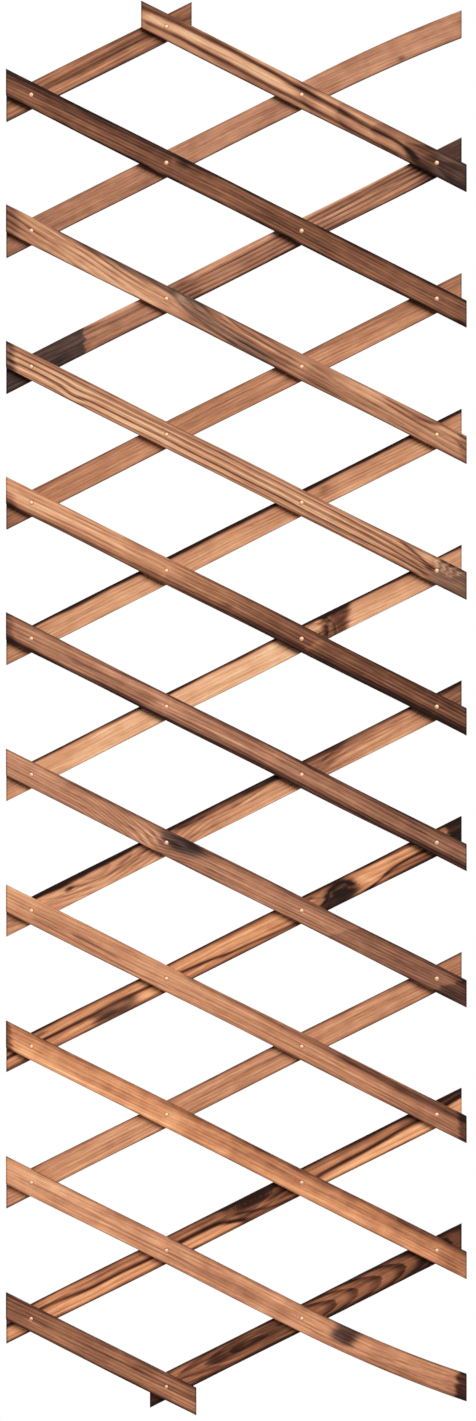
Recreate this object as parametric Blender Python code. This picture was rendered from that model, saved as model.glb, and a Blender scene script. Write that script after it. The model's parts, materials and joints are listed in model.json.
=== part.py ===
"""Expandable garden trellis: two layers of burnt softwood slats, riveted together where they cross.

X runs to the right, Z up, and Y from the viewer towards the wall. The origin is the point of the wall
plane behind the middle rivet. Every slat has its origin on the pivot that carries it, and its own X axis
runs along it to the right.
"""

import math

import bmesh
import bpy

# The lattice, as it hangs opened
RIVET_SPACING = 0.192
REST_ANGLE = math.radians(26.7)
SLATS_PER_LAYER = 11
COLUMNS = 4
LEVELS_PER_SLAT = 2
MIDDLE_COLUMN = 2
MIDDLE_SLAT = 6
FREE_FRONT_SLAT = 10
FREE_REAR_SLAT = 2

# The slats
SLAT_WIDTH = 0.031
SLAT_THICKNESS = 0.008
ARRIS = 0.0009
LAYER_GAP = 0.0003
LEFT_REACH = 0.032
REAR_RIGHT_REACH = 0.032
FRONT_RIGHT_REACH = 0.038
LOWEST_LEFT_REACH = 0.021
LOW_END_BOW = 0.016
TOP_END_BOW = -0.010
BOW_STEPS = 4

# The rivets and the holes that they turn in
SHANK_RADIUS = 0.0016
HOLE_CLEARANCE = 0.0003
HOLE_SIDES = 10
HOLE_FIELD = 0.0075
SEAT_DEPTH = 0.0004
SEAT_GAP = 0.0003
HEAD_RADIUS = 0.0029
HEAD_HEIGHT = 0.0013
TAIL_RADIUS = 0.0026
TAIL_FLAT_RADIUS = 0.0017
TAIL_RIM = 0.0004
TAIL_HEIGHT = 0.0010
RIVET_SIDES = 12
DOME_SHARE = 0.62
SMOOTH_ANGLE = math.radians(40)
MERGE = 0.00001

# Each layer's middle plane, counted forwards from the wall plane that the rivet tails touch
REAR_PLANE = -(TAIL_HEIGHT + SEAT_GAP - SEAT_DEPTH + SLAT_THICKNESS / 2)
FRONT_PLANE = REAR_PLANE - SLAT_THICKNESS - LAYER_GAP

# The column of each slat's own pivot, from the top slat down
FRONT_PIVOTS = (4, 3, 2, 4, 3, 2, 1, 2, 1, 3, 2)
REAR_PIVOTS = (2, 3, 1, 2, 1, 2, 3, 4, 2, 3, 4)

# Burnt wood tones, as red, green and blue
HONEY = (0.66, 0.36, 0.16)
TAN = (0.53, 0.26, 0.12)
TERRACOTTA = (0.47, 0.21, 0.10)
PINK_TAN = (0.45, 0.23, 0.15)
BROWN = (0.28, 0.13, 0.07)
UMBER = (0.15, 0.07, 0.045)
FRONT_TONES = (HONEY, UMBER, TAN, HONEY, TAN, BROWN, BROWN, TAN, TAN, TAN, UMBER)
REAR_TONES = (BROWN, PINK_TAN, BROWN, TERRACOTTA, TAN, TAN, BROWN, TAN, TAN, BROWN, UMBER)
RIVET_TONE = (0.83, 0.78, 0.68)
WOOD_ROUGHNESS = 0.62
RIVET_ROUGHNESS = 0.32


def clear_scene():
    """Remove every object that the scene starts with."""
    for leftover in list(bpy.data.objects):
        bpy.data.objects.remove(leftover, do_unlink=True)


def finish(name, tone, roughness, metallic):
    """A plain material of one tone."""
    material = bpy.data.materials.new(name)
    material.use_nodes = True
    shader = material.node_tree.nodes["Principled BSDF"]
    shader.inputs["Base Color"].default_value = (*tone, 1.0)
    shader.inputs["Roughness"].default_value = roughness
    shader.inputs["Metallic"].default_value = metallic
    return material


def crossing(column, level):
    """The X and Z of a crossing. The level counts half rows down from the top crossing of column 2."""
    middle_level = LEVELS_PER_SLAT * (MIDDLE_SLAT - 1)
    across = (column - MIDDLE_COLUMN) * RIVET_SPACING * math.cos(REST_ANGLE)
    up = (middle_level - level) * RIVET_SPACING * math.sin(REST_ANGLE)
    return across, up


def front_level(slat, column):
    """The level at which a front slat meets a column: it falls to the right."""
    return LEVELS_PER_SLAT * (slat - 1) + column - MIDDLE_COLUMN


def rear_level(slat, column):
    """The level at which a rear slat meets a column: it rises to the right."""
    return LEVELS_PER_SLAT * (slat - 1) + MIDDLE_COLUMN - column


def rear_partner(slat, column):
    """The rear slat that a front slat crosses in a column."""
    return slat + column - MIDDLE_COLUMN


def front_partner(slat, column):
    """The front slat that a rear slat crosses in a column."""
    return slat - column + MIDDLE_COLUMN


def crossed_columns(slat, partner):
    """The columns in which a slat crosses one of the other layer, as partner finds them."""
    return [c for c in range(1, COLUMNS + 1) if 1 <= partner(slat, c) <= SLATS_PER_LAYER]


def slat_ring(bm, station, shear, lift):
    """Eight points round the slat at a station along it, lifted across its width and sheared for a plumb cut."""
    y = SLAT_THICKNESS / 2
    z = SLAT_WIDTH / 2
    outline = (
        (-y, ARRIS - z), (-y, z - ARRIS), (ARRIS - y, z), (y - ARRIS, z),
        (y, z - ARRIS), (y, ARRIS - z), (y - ARRIS, -z), (ARRIS - y, -z),
    )
    return [bm.verts.new((station - shear * (v + lift), u, v + lift)) for u, v in outline]


def bridge(bm, start, end, skipped=()):
    """Quads between two rings, apart from the skipped sides."""
    for side in range(len(start)):
        if side not in skipped:
            following = (side + 1) % len(start)
            bm.faces.new((start[side], start[following], end[following], end[side]))


def rim(bm, station, y, radius):
    """A ring of points that clears a round piece of the radius all round, at a station and a depth."""
    reach = (radius + HOLE_CLEARANCE) / math.cos(math.pi / HOLE_SIDES)
    turns = [2 * math.pi * k / HOLE_SIDES for k in range(HOLE_SIDES)]
    return [bm.verts.new((station + reach * math.cos(turn), y, reach * math.sin(turn))) for turn in turns]


def drill(bm, station, start, end, outer):
    """A rivet's hole between two rings, with the faces filled round it.

    The outer face, -1 in front or 1 behind, has the shallow seat that the rivet's head or tail pressed there.
    """
    seat_radius = TAIL_RADIUS if outer > 0 else HEAD_RADIUS
    face = outer * SLAT_THICKNESS / 2
    floor = face - outer * SEAT_DEPTH
    rims = [rim(bm, station, -face, SHANK_RADIUS), rim(bm, station, floor, SHANK_RADIUS)]
    rims += [rim(bm, station, floor, seat_radius), rim(bm, station, face, seat_radius)]
    for here, there in zip(rims, rims[1:]):
        bridge(bm, here, there)
    front, back = (rims[0], rims[-1]) if outer > 0 else (rims[-1], rims[0])
    for edge_loop, (low, high) in ((front, (0, 1)), (back, (5, 4))):
        corners = [start[low], start[high], end[high], end[low]]
        edges = []
        for loop in (corners, edge_loop):
            for here, there in zip(loop, loop[1:] + loop[:1]):
                edges.append(bm.edges.get((here, there)) or bm.edges.new((here, there)))
        bmesh.ops.triangle_fill(bm, use_beauty=True, edges=edges)


def slat_mesh(name, holes, ends, outer, bow):
    """A slat with eased edges and drilled holes, cut plumb at both ends, with its free right end bowed by bow.

    The holes and ends are stations along it. A slat whose outer face is in front, -1, falls to the right,
    and one whose outer face is behind, 1, rises.
    """
    bm = bmesh.new()
    shear = -outer * math.tan(REST_ANGLE)
    first = slat_ring(bm, ends[0], shear, 0)
    ring = first
    for hole in holes:
        before = slat_ring(bm, hole - HOLE_FIELD, 0, 0)
        after = slat_ring(bm, hole + HOLE_FIELD, 0, 0)
        bridge(bm, ring, before)
        bridge(bm, before, after, skipped=(0, 4))
        drill(bm, hole, before, after, outer)
        ring = after
    steps = BOW_STEPS if bow else 1
    span_start = holes[-1] + HOLE_FIELD if holes else ends[0]
    for step in range(1, steps + 1):
        share = step / steps
        station = span_start + share * (ends[1] - span_start)
        following = slat_ring(bm, station, shear if step == steps else 0, bow * share**2)
        bridge(bm, ring, following)
        ring = following
    bm.faces.new(first)
    bm.faces.new(reversed(ring))
    bmesh.ops.recalc_face_normals(bm, faces=bm.faces)
    mesh = bpy.data.meshes.new(name)
    bm.to_mesh(mesh)
    bm.free()
    return mesh


def rivet_mesh(name):
    """A domed head, a shank through both slats and a rolled tail, turned about Y. Y is zero amid the front slat."""
    head_seat = -SLAT_THICKNESS / 2 + SEAT_DEPTH - SEAT_GAP
    tail_seat = SLAT_THICKNESS / 2 + LAYER_GAP + SLAT_THICKNESS - SEAT_DEPTH + SEAT_GAP
    dome_height = HEAD_HEIGHT * math.sqrt(1 - DOME_SHARE**2)
    profile = (
        (0, head_seat - HEAD_HEIGHT),
        (HEAD_RADIUS * DOME_SHARE, head_seat - dome_height),
        (HEAD_RADIUS, head_seat),
        (SHANK_RADIUS, head_seat),
        (SHANK_RADIUS, tail_seat),
        (TAIL_RADIUS, tail_seat),
        (TAIL_RADIUS, tail_seat + TAIL_RIM),
        (TAIL_FLAT_RADIUS, tail_seat + TAIL_HEIGHT),
        (0, tail_seat + TAIL_HEIGHT),
    )
    bm = bmesh.new()
    points = [bm.verts.new((radius, y, 0)) for radius, y in profile]
    edges = [bm.edges.new(pair) for pair in zip(points, points[1:])]
    bmesh.ops.spin(
        bm, geom=points + edges, axis=(0, 1, 0), cent=(0, 0, 0), angle=2 * math.pi, steps=RIVET_SIDES
    )
    bmesh.ops.remove_doubles(bm, verts=bm.verts, dist=MERGE)
    bmesh.ops.recalc_face_normals(bm, faces=bm.faces)
    mesh = bpy.data.meshes.new(name)
    bm.to_mesh(mesh)
    bm.free()
    mesh.shade_smooth()
    mesh.set_sharp_from_angle(angle=SMOOTH_ANGLE)
    return mesh


def place(name, mesh, material, location, turn):
    """An object in the scene, turned about Y."""
    piece = bpy.data.objects.new(name, mesh)
    piece.location = location
    piece.rotation_euler.y = turn
    mesh.materials.append(material)
    bpy.context.scene.collection.objects.link(piece)
    return piece


def along(column, pivot):
    """How far along a slat a column lies from the slat's own pivot."""
    return (column - pivot) * RIVET_SPACING


def slat_ends(columns, pivot, reaches, free):
    """The stations of a slat's two ends. A free slat runs on to the last column without a rivet there."""
    last = COLUMNS if free else columns[-1]
    spare = [reach / math.cos(REST_ANGLE) for reach in reaches]
    return along(columns[0], pivot) - spare[0], along(last, pivot) + spare[1]


def make_front_slats():
    """The slats that fall to the right. The lowest takes its rivets as one piece with it, so it has no holes."""
    slats = {}
    for slat in range(1, SLATS_PER_LAYER + 1):
        name = f"front_slat_{slat:02d}"
        pivot = FRONT_PIVOTS[slat - 1]
        columns = crossed_columns(slat, rear_partner)
        holes = [along(column, pivot) for column in columns] if slat < SLATS_PER_LAYER else []
        free = slat == FREE_FRONT_SLAT
        ends = slat_ends(columns, pivot, (LEFT_REACH, FRONT_RIGHT_REACH), free)
        mesh = slat_mesh(name, holes, ends, -1, LOW_END_BOW if free else 0)
        material = finish(name, FRONT_TONES[slat - 1], WOOD_ROUGHNESS, 0)
        across, up = crossing(pivot, front_level(slat, pivot))
        slats[slat] = place(name, mesh, material, (across, FRONT_PLANE, up), REST_ANGLE)
    return slats


def make_rear_slats():
    """The slats that rise to the right, behind the others."""
    for slat in range(1, SLATS_PER_LAYER + 1):
        name = f"rear_slat_{slat:02d}"
        pivot = REAR_PIVOTS[slat - 1]
        columns = crossed_columns(slat, front_partner)
        holes = [along(column, pivot) for column in columns]
        left_reach = LOWEST_LEFT_REACH if slat == SLATS_PER_LAYER else LEFT_REACH
        free = slat == FREE_REAR_SLAT
        ends = slat_ends(columns, pivot, (left_reach, REAR_RIGHT_REACH), free)
        mesh = slat_mesh(name, holes, ends, 1, TOP_END_BOW if free else 0)
        material = finish(name, REAR_TONES[slat - 1], WOOD_ROUGHNESS, 0)
        across, up = crossing(pivot, rear_level(slat, pivot))
        place(name, mesh, material, (across, REAR_PLANE, up), -REST_ANGLE)


def make_rivets(slats):
    """One rivet at each crossing, carried by its front slat. Those of the lowest slat are joined to it."""
    counts = {column: 0 for column in range(1, COLUMNS + 1)}
    for slat, carrier in slats.items():
        for column in crossed_columns(slat, rear_partner):
            counts[column] += 1
            name = f"rivet_{column}_{counts[column]:02d}"
            material = finish(name, RIVET_TONE, RIVET_ROUGHNESS, 1)
            station = along(column, FRONT_PIVOTS[slat - 1])
            rivet = place(name, rivet_mesh(name), material, (station, 0, 0), 0)
            rivet.parent = carrier
            if slat == SLATS_PER_LAYER:
                rivet.hide_render = True
                rivet.display_type = "WIRE"
                union = carrier.modifiers.new(name, "BOOLEAN")
                union.operation = "UNION"
                union.object = rivet


clear_scene()
front_slats = make_front_slats()
make_rear_slats()
make_rivets(front_slats)
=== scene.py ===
import json
import math

import bpy
import numpy as np
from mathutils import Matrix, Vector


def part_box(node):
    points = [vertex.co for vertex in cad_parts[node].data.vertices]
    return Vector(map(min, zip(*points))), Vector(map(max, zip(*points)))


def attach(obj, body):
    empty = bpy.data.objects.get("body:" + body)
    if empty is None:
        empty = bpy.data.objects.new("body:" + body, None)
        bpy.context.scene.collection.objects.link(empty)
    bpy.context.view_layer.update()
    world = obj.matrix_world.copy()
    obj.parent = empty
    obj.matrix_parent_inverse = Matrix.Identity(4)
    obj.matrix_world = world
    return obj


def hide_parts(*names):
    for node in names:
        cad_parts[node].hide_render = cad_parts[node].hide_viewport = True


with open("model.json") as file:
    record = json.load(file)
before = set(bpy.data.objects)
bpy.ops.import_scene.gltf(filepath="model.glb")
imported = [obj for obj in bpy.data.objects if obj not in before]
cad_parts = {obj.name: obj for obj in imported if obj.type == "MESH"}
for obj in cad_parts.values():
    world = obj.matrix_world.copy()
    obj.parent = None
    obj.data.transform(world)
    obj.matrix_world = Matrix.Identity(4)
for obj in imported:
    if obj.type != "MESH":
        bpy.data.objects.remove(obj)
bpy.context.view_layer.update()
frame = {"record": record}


# Rear slats
# Eleven flat laths of softwood that rise to the right, the layer next to the wall. Each is ripped from a
# plain board, drilled for its rivets, sawn off plumb at both ends, scorched with a flame and brushed.
RIVET_SPACING = 0.192
LEAN = math.radians(26.7)
MIDDLE_SLAT = 6
LAYER_DEPTH = {"front": -1, "rear": 1}
SLAT_WIDTH = 0.031
SLAT_THICKNESS = 0.008
ARRIS = 0.0012
SAW_BEVEL = 0.0003
EDGE_WANDER = 0.0003
SECOND_WAVE = 0.6
FACE_CELLS = 32
EDGE_CELLS = 5
CELLS_PER_SPACING = 80
HOLE_RADIUS = 0.0019
SEAT_DEPTH = 0.0004
SEAT_RADIUS = {"front": 0.00295, "rear": 0.0030}
FIELD_RINGS = 3
FIELD_ROWS = 7
FIELD_SHARES = (0.4, 0.75)
GRAIN_RELIEF = 0.00012
USUAL_FIGURE = 0.15
FREE_END_BOW = {"front_slat_10": 0.016, "rear_slat_02": -0.010}
FREE_END_START = 0.0075

# How marks end: columns over which a route's corners round off and its ends fade, and width shares at a side
CORNER_WAY = 0.05
END_FADE = 0.08
SIDE_FADE = 0.25

# Growth rings round a knot, in knot sizes: how far they bend, over which reach, and where its own ones begin
KNOT_BEND = 1.6
KNOT_BEND_REACH = 1.5
KNOT_CALM = 0.2
KNOT_OWN_RINGS = 3.2
KNOT_CORE = 0.75
KNOT_RIM = 1.25
KNOT_BLEND = 0.5
KNOT_FIGURE = 0.10

# How the flame and the brush left the lath
WAVER_ALONG = 0.008
WAVER_ACROSS = 0.028
SCORCH_UNEVENNESS = 0.5
CHAR = 0.04
CHAR_REACH = 0.12
NARROW_SIDE_DARKER = 0.10
END_DARKER = 0.16
BACK_CONTRAST = 0.75
BACK_DARKER = 0.02

# Wood from black char to bare pale sapwood, as a share of white and the levels that a screen shows
WOOD_TONES = (
    (0.05, (34, 20, 15)), (0.14, (60, 35, 26)), (0.22, (86, 53, 39)), (0.32, (117, 76, 56)),
    (0.44, (155, 104, 77)), (0.56, (192, 133, 99)), (0.69, (224, 165, 124)), (0.77, (238, 187, 145)),
    (0.88, (249, 216, 178)),
)
SOOT_TONES = (
    (0.05, (32, 25, 23)), (0.20, (62, 46, 41)), (0.40, (118, 92, 78)), (0.65, (194, 157, 132)),
)


def ease(share):
    """0 below 0, 1 above 1, and three times the square less twice the cube between them."""
    share = np.clip(share, 0, 1)
    return share * share * (3 - 2 * share)


def follow(column, route):
    """Straight runs between the route's (column, value) points, rounded by averaging over a short way."""
    columns, values = zip(*route)
    steps = np.linspace(-CORNER_WAY, CORNER_WAY, 5)
    return np.mean([np.interp(column + step, columns, values) for step in steps], axis=0)


def streak(change, width, *route):
    """A change of tone along a route of (column, share across): a bell curve of the distance from it."""
    def shade(column, across):
        fade = ease((column - route[0][0]) / END_FADE + 0.5) * ease((route[-1][0] - column) / END_FADE + 0.5)
        return change * fade * np.exp(-((across - follow(column, route)) / width) ** 2)
    return shade


def patch(change, columns, across_range=(-1.5, 1.5), soft=0.03, slant=0.0):
    """A change of tone between two columns and two shares across, with soft sides that may slant."""
    def shade(column, across):
        place = column - slant * across
        along = ease((place - columns[0]) / soft + 0.5) * ease((columns[1] - place) / soft + 0.5)
        low, high = across_range
        within = ease((across - low) / SIDE_FADE + 0.5)
        return change * along * within * ease((high - across) / SIDE_FADE + 0.5)
    return shade


def blot(change, column_share, half_length, half_width, power=2):
    """A change of tone round a (column, share across), which falls off with a power of the distance."""
    def shade(column, across):
        away = np.hypot((column - column_share[0]) / half_length, (across - column_share[1]) / half_width)
        return change * np.exp(-(away ** power))
    return shade


def edge(change, side, *route):
    """A change of tone at the upper edge, 1, or the lower, -1: a bell curve inward over a route's widths."""
    def shade(column, across):
        width = follow(column, route)
        return change * np.exp(-(np.maximum(1 - side * across, 0) / np.maximum(width, 0.01)) ** 2)
    return shade


def between(change, low_route, high_route, soft=0.15):
    """A change of tone between two routes of (column, share across), with soft sides and ends."""
    def shade(column, across):
        start, end = low_route[0][0], low_route[-1][0]
        along = ease((column - start) / END_FADE + 0.5) * ease((end - column) / END_FADE + 0.5)
        above = ease((across - follow(column, low_route)) / soft + 0.5)
        return change * along * above * ease((follow(column, high_route) - across) / soft + 0.5)
    return shade


def ripple(column, across, seed, along_paces, across_paces):
    """Unevenness of about plus or minus 1: half the sum of six sines of paces and phases drawn by chance."""
    waves = [np.sin(seed.uniform(*along_paces) * column + seed.uniform(*across_paces) * across
                    + seed.uniform(0, 2 * math.pi)) for _ in range(6)]
    return np.sum(waves, axis=0) / 2


def lath_section():
    """The outline across a lath: down its front, along its underside, up its back and along its top.

    Four flats with evenly spaced points, joined by quarter circles. It gives the height and depth of each
    point and of its outward direction, and the counts of points down a face, corner to corner, and between
    corners.
    """
    half, deep = SLAT_WIDTH / 2 - ARRIS, SLAT_THICKNESS / 2 - ARRIS
    turned_over, turned_down = np.array([[1], [-1], [1], [-1]]), np.array([[-1], [1], [-1], [1]])

    def corner(*degrees):
        up_way, out_way = np.cos(np.radians(degrees)), -np.sin(np.radians(degrees))
        return np.stack([half + ARRIS * up_way, ARRIS * out_way - deep, up_way, out_way])

    def flat(up, out, up_way, out_way):
        return np.stack(np.broadcast_arrays(up, out, up_way, out_way))

    brow, lip = corner(45, 67.5, 90), corner(22.5, 0)
    board = flat(np.linspace(half, -half, FACE_CELLS + 1)[1:-1], -SLAT_THICKNESS / 2, 0, -1)
    ledge = flat(SLAT_WIDTH / 2, np.linspace(-deep, deep, EDGE_CELLS + 1)[1:-1], 1, 0)
    face = np.hstack([brow, board, turned_down * brow[:, ::-1]])
    side = np.hstack([lip, ledge, turned_over * lip[:, ::-1]])
    section = np.hstack([face, turned_down * side, turned_over * face[:, ::-1], side[:, ::-1]])
    return *section, face.shape[1], side.shape[1]


def slat_height(row):
    """How high above the middle of the lattice a slat of the row crosses the second column."""
    return (MIDDLE_SLAT - row) * 2 * RIVET_SPACING * math.sin(LEAN)


def placed(name, data):
    """An object of the scene that holds the given mesh, light or camera."""
    thing = bpy.data.objects.new(name, data)
    bpy.context.scene.collection.objects.link(thing)
    return thing


def quads(table, flip=False):
    """The faces between neighbours in a table of vertex numbers, one face for each cell."""
    ways = (table[:-1, :-1], table[1:, :-1], table[1:, 1:], table[:-1, 1:])
    faces = np.stack([way.ravel() for way in ways], axis=1)
    return faces[:, ::-1] if flip else faces


def lath_surface(name, layer, holes):
    """A lath's surface, as stations along it, heights and depths, which way each point faces, and its faces.

    The section is carried along the lath from one plumb end to the other and closed there with a grid. Round
    each hole a field of the grid gives way to rings, which shrink from the field's border to the seat's
    circle, drop to its floor, close to the hole and pass through it to the other face.
    """
    shear = -LAYER_DEPTH[layer] * math.tan(LEAN)
    low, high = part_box(name)
    ends = (low.x / math.cos(LEAN), high.x / math.cos(LEAN))
    knots = [ends[0] + SAW_BEVEL, *holes, ends[1] - SAW_BEVEL]
    cells = [max(2, round((b - a) / RIVET_SPACING * CELLS_PER_SPACING)) for a, b in zip(knots, knots[1:])]
    counts = np.concatenate([[0], np.cumsum(cells)])
    rings = np.concatenate([[ends[0]], np.interp(np.arange(counts[-1] + 1), counts, knots), [ends[1]]])
    up, out, up_way, out_way, face_points, edge_points = lath_section()
    inset = np.zeros((rings.size, 1))
    inset[[0, -1]] = SAW_BEVEL
    ones = np.ones((rings.size, 1))
    parts = [(rings[:, None] + 0 * up, up - inset * up_way, out - inset * out_way,
              ones * up_way, ones * out_way)]
    table = np.arange(rings.size * up.size).reshape(rings.size, up.size)
    count = table.size

    skipped = np.zeros((rings.size - 1, up.size), bool)
    faces = []
    middle = (face_points - 1) // 2
    last_back = 2 * face_points + edge_points - 1
    across = np.arange(middle - FIELD_ROWS, middle + FIELD_ROWS + 1)
    for hole in holes:
        centre = int(np.argmin(np.abs(rings - hole)))
        along = np.arange(centre - FIELD_RINGS, centre + FIELD_RINGS + 1)
        skipped[along[0]:along[-1], across[0]:across[-1]] = True
        skipped[along[0]:along[-1], last_back - across[-1]:last_back - across[0]] = True
        ring_way = np.concatenate([along, np.full(across.size - 2, along[-1]), along[::-1],
                                   np.full(across.size - 2, along[0])])
        row_way = np.concatenate([np.full(along.size, across[0]), across[1:-1],
                                  np.full(along.size, across[-1]), across[1:-1][::-1]])
        border_up = up[row_way]
        border_along = rings[ring_way] - shear * border_up - hole
        turn = np.arctan2(border_up, border_along)
        outer = LAYER_DEPTH[layer] * SLAT_THICKNESS / 2
        seat = SEAT_RADIUS[layer]
        floor = outer - LAYER_DEPTH[layer] * SEAT_DEPTH
        early, late = FIELD_SHARES
        steps = [(early, seat, outer, 1), (late, seat, outer, 1), (1, seat, outer, 1), (1, seat, floor, 0),
                 (1, HOLE_RADIUS, floor, 0), (1, HOLE_RADIUS, floor / 3, 0), (1, HOLE_RADIUS, -floor / 3, 0),
                 (1, HOLE_RADIUS, -outer, 1), (late, HOLE_RADIUS, -outer, 1),
                 (early, HOLE_RADIUS, -outer, 1)]
        if layer == "rear":
            steps = steps[::-1]
        share, radius, depth, open_face = (np.array(column)[:, None] for column in zip(*steps))
        ring_along = (1 - share) * border_along + share * radius * np.cos(turn)
        ring_up = (1 - share) * border_up + share * radius * np.sin(turn)
        parts.append((hole + ring_along + shear * ring_up, ring_up, depth + 0 * ring_up, 0 * ring_up,
                      np.sign(depth) * open_face + 0 * ring_up))
        new = count + np.arange(ring_up.size).reshape(ring_up.shape)
        count += new.size
        whole = np.vstack([table[ring_way, row_way], new, table[ring_way, last_back - row_way]])
        faces.append(quads(np.hstack([whole, whole[:, :1]])))

    closed = np.hstack([table, table[:, :1]])
    ways = (closed[:-1, :-1], closed[:-1, 1:], closed[1:, 1:], closed[1:, :-1])
    faces.append(np.stack([way[~skipped] for way in ways], axis=1))
    for ring, flip in ((0, True), (-1, False)):
        cap = np.zeros((face_points, edge_points + 2), int)
        cap[:, 0] = table[ring, :face_points]
        cap[:, -1] = table[ring, face_points + edge_points:last_back + 1][::-1]
        cap[-1, 1:-1] = table[ring, face_points:face_points + edge_points]
        cap[0, 1:-1] = table[ring, last_back + 1:][::-1]
        inner_up, inner_out = np.meshgrid(up[1:face_points - 1], out[face_points:face_points + edge_points],
                                          indexing="ij")
        cap[1:-1, 1:-1] = count + np.arange(inner_up.size).reshape(inner_up.shape)
        count += inner_up.size
        parts.append((rings[ring] + 0 * inner_up, inner_up, inner_out, 0 * inner_up, 0 * inner_up))
        faces.append(quads(cap, flip))
    columns = [np.concatenate([np.ravel(part[k]) for part in parts]) for k in range(5)]
    return (*columns, shear, ends, np.vstack(faces))


def from_knot(column, up, knot):
    """How far along and across the lath a point lies from a knot's middle, in the knot's half sizes."""
    knot_column, knot_share, half_length, half_width, darkness = knot
    along = (column - knot_column) * RIVET_SPACING / half_length
    return along, (up - knot_share * SLAT_WIDTH / 2) / half_width


def ring_number(column, up, out, look):
    """How many growth rings a point lies from the pith: its distance from a wandering pith over their width.

    Near a knot the count bends away from it by a bell curve of the distance, and inside the knot it turns
    smoothly into the knot's own rings, whose count grows evenly with the distance from its middle.
    """
    pith = look.get("pith", PLAIN_PITH)
    pith_up = follow(column, [(c, height) for c, height, depth in pith])
    pith_out = follow(column, [(c, depth) for c, height, depth in pith])
    rings = np.hypot(up - pith_up, out - pith_out) / look["ring_width"]
    for knot in look.get("knots", ()):
        along, across = from_knot(column, up, knot)
        away = np.hypot(along, across)
        bend = KNOT_BEND * np.sign(across) * np.exp(-(away / KNOT_BEND_REACH) ** 2)
        rings = rings + bend * np.abs(across) / (away + KNOT_CALM)
        own = KNOT_OWN_RINGS * away
        rings = own + (rings - own) * ease((away - KNOT_CORE) / KNOT_BLEND)
    return rings


def late_wood(rings):
    """How dark a point of its growth ring is: 0 at first, a smooth rise from 0.35 of the ring to 1 at 0.80,
    and a smooth drop to 0 over its last 0.14."""
    share = rings % 1
    return ease((share - 0.35) / 0.45) * ease((1 - share) / 0.14)


def grained(name, layer, look, holes):
    """The finished lath: its surface with brushed grain, and what its material reads, kept at its points.

    The tone is that of the place along the lath plus all its marks, less the darker knots, borders, narrow
    sides and ends. The brush has sunk the early wood by the relief, the more the stronger the figure is.
    """
    station, up, out, up_way, out_way, shear, ends, faces = lath_surface(name, layer, holes)
    seed = np.random.default_rng(sum(map(ord, name)))
    phase, pace = seed.uniform(0, 2 * math.pi, 4), seed.uniform(9, 26, 4)
    waves = np.sin(pace[:, None] * station + phase[:, None])
    upper, lower = waves[0] + SECOND_WAVE * waves[1], waves[2] + SECOND_WAVE * waves[3]
    share = up / (SLAT_WIDTH / 2)
    lifted = up + EDGE_WANDER * ((1 + share) / 2 * upper + (1 - share) / 2 * lower) * np.abs(share) ** 3
    bow_start = holes[-1] + FREE_END_START if holes else ends[0]
    bow = FREE_END_BOW.get(name, 0) * np.clip((station - bow_start) / (ends[1] - bow_start), 0, 1) ** 2
    along = station - shear * lifted

    column = 2 + along / RIVET_SPACING
    behind = out > 0
    rings = ring_number(column, up, out + SLAT_THICKNESS / 2, look)
    place = (column + WAVER_ALONG * ripple(column, share, seed, (2, 12), (-18, 18)),
             share + WAVER_ACROSS * ripple(column, share, seed, (3, 16), (-2, 2)))
    base = follow(column, look["tone"])
    tone = base + sum(mark(*place) for mark in look["marks"])
    soot = sum((mark(*place) for mark in look.get("soot", ())), np.zeros_like(share))
    figure = look["figure"] + sum((mark(*place) for mark in look.get("figured", ())), np.zeros_like(share))
    for knot in look.get("knots", ()):
        inside = ease((KNOT_RIM - np.hypot(*from_knot(column, up, knot))) / KNOT_BLEND)
        tone = tone - knot[-1] * inside
        figure = figure + KNOT_FIGURE * inside
    scorch = 1 + SCORCH_UNEVENNESS * ripple(column, share, seed, (8, 40), (-1, 1))
    tone = tone - look.get("char", CHAR) * scorch * np.exp(-((1 - np.abs(share)) / CHAR_REACH) ** 2)
    tone = np.where(behind, base + BACK_CONTRAST * (tone - base) - BACK_DARKER, tone)
    on_edge = np.abs(up_way) ** 4
    on_left = ease((ends[0] + 2 * SAW_BEVEL - station) / SAW_BEVEL)
    on_right = ease((station - ends[1] + 2 * SAW_BEVEL) / SAW_BEVEL)
    tone = tone - NARROW_SIDE_DARKER * on_edge - END_DARKER * (on_left + on_right)
    relief = GRAIN_RELIEF * (1 - late_wood(rings)) * np.clip(figure / USUAL_FIGURE, 0.3, 1.5)
    up_final = lifted + bow - relief * up_way
    out_final = out - relief * out_way
    along = along - shear * bow

    turn = -LAYER_DEPTH[layer] * LEAN
    row = int(name[-2:])
    rise = slat_height(row)
    low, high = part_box(name)
    middle = low.y + SLAT_THICKNESS / 2 if layer == "front" else high.y - SLAT_THICKNESS / 2
    points = np.stack([
        along * math.cos(turn) + up_final * math.sin(turn),
        middle + out_final,
        rise - along * math.sin(turn) + up_final * math.cos(turn),
    ], axis=1)
    mesh = bpy.data.meshes.new(name + "_wood")
    mesh.from_pydata(points.tolist(), [], faces.tolist())
    grain = np.stack([along + 3 * row, up + 0.5 * row, out], axis=1)
    readings = {"grain": grain, "ring": rings, "tone": tone, "soot": np.clip(soot, 0, 1), "figure": figure}
    for title, values in readings.items():
        kind, field = ("FLOAT_VECTOR", "vector") if title == "grain" else ("FLOAT", "value")
        mesh.attributes.new(title, kind, "POINT").data.foreach_set(field, values.astype(np.float32).ravel())
    mesh.shade_smooth()
    piece = placed(name + "_wood", mesh)
    piece.data.materials.append(burnt_wood(name, look))
    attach(piece, name)
    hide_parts(name)


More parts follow.
